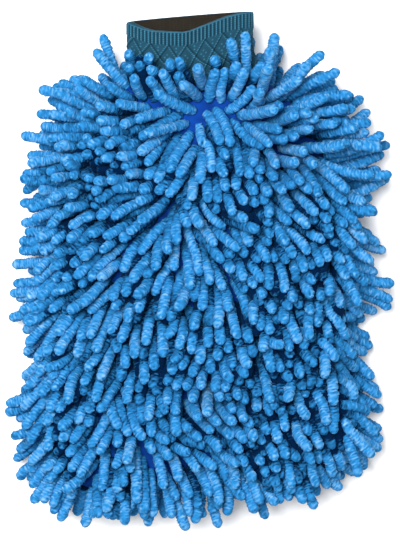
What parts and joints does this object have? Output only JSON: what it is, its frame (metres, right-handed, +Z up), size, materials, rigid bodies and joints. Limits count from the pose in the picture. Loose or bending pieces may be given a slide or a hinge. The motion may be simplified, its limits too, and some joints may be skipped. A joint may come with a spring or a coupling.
{
  "type": "wash mitt",
  "caption": "Soft wash mitt: a lined cloth bag covered on both faces with chenille noodles, with a ribbed knit wrist cuff.",
  "frame": {"origin": "centre of the footprint of the mitt lying on its back face, on the surface that it lies on", "axes": "+X across the hand, +Y from the fingertip end towards the cuff's rim, +Z up out of the front face"},
  "size_m": [0.2056, 0.2824, 0.0617],
  "materials": {
    "chenille": "deep chenille pile",
    "ground_cloth": "matte knitted ground",
    "lining": "matte mesh",
    "overlock_thread": "matte thread",
    "knit": "matte ribbed knit",
    "elastic": "matte woven elastic"
  },
  "bodies": {
    "palm": {"front_cloth_palm": "ground_cloth", "back_cloth_palm": "ground_cloth", "front_lining_palm": "lining", "back_lining_palm": "lining", "edge_seam_palm": "overlock_thread", "front_noodle_row_palm_1": "chenille", "front_noodle_row_palm_2": "chenille", "front_noodle_row_palm_3": "chenille", "front_noodle_row_palm_4": "chenille", "front_noodle_row_palm_5": "chenille", "front_noodle_row_palm_6": "chenille", "front_noodle_row_palm_7": "chenille", "back_noodle_row_palm_1": "chenille", "back_noodle_row_palm_2": "chenille", "back_noodle_row_palm_3": "chenille", "back_noodle_row_palm_4": "chenille", "back_noodle_row_palm_5": "chenille", "back_noodle_row_palm_6": "chenille", "back_noodle_row_palm_7": "chenille"},
    "fingers": {"front_cloth_fingers": "ground_cloth", "back_cloth_fingers": "ground_cloth", "front_lining_fingers": "lining", "back_lining_fingers": "lining", "edge_seam_fingers": "overlock_thread", "front_noodle_row_fingers_1": "chenille", "front_noodle_row_fingers_2": "chenille", "front_noodle_row_fingers_3": "chenille", "front_noodle_row_fingers_4": "chenille", "front_noodle_row_fingers_5": "chenille", "front_noodle_row_fingers_6": "chenille", "front_noodle_row_fingers_7": "chenille", "front_noodle_row_fingers_8": "chenille", "front_noodle_row_fingers_9": "chenille", "front_noodle_row_fingers_10": "chenille", "front_noodle_row_fingers_11": "chenille", "front_noodle_row_fingers_12": "chenille", "front_noodle_row_fingers_13": "chenille", "back_noodle_row_fingers_1": "chenille", "back_noodle_row_fingers_2": "chenille", "back_noodle_row_fingers_3": "chenille", "back_noodle_row_fingers_4": "chenille", "back_noodle_row_fingers_5": "chenille", "back_noodle_row_fingers_6": "chenille", "back_noodle_row_fingers_7": "chenille", "back_noodle_row_fingers_8": "chenille", "back_noodle_row_fingers_9": "chenille", "back_noodle_row_fingers_10": "chenille", "back_noodle_row_fingers_11": "chenille", "back_noodle_row_fingers_12": "chenille", "back_noodle_row_fingers_13": "chenille"},
    "cuff": {"cuff_knit": "knit", "cuff_elastic": "elastic", "cuff_join_seam": "overlock_thread", "cuff_side_seam": "knit"}
  },
  "joints": [
    {"name": "knuckle_bend", "type": "hinge", "parent": "palm", "child": "fingers", "pos_m": [0, 0.01949, 0.02912], "axis": [1, 0, 0], "range_deg": [-40, 40], "stiffness_Nm_per_rad": 0.05},
    {"name": "cuff_fold", "type": "hinge", "parent": "palm", "child": "cuff", "pos_m": [0, 0.10349, 0.02912], "axis": [1, 0, 0], "range_deg": [-30, 30], "stiffness_Nm_per_rad": 0.05}
  ]
}
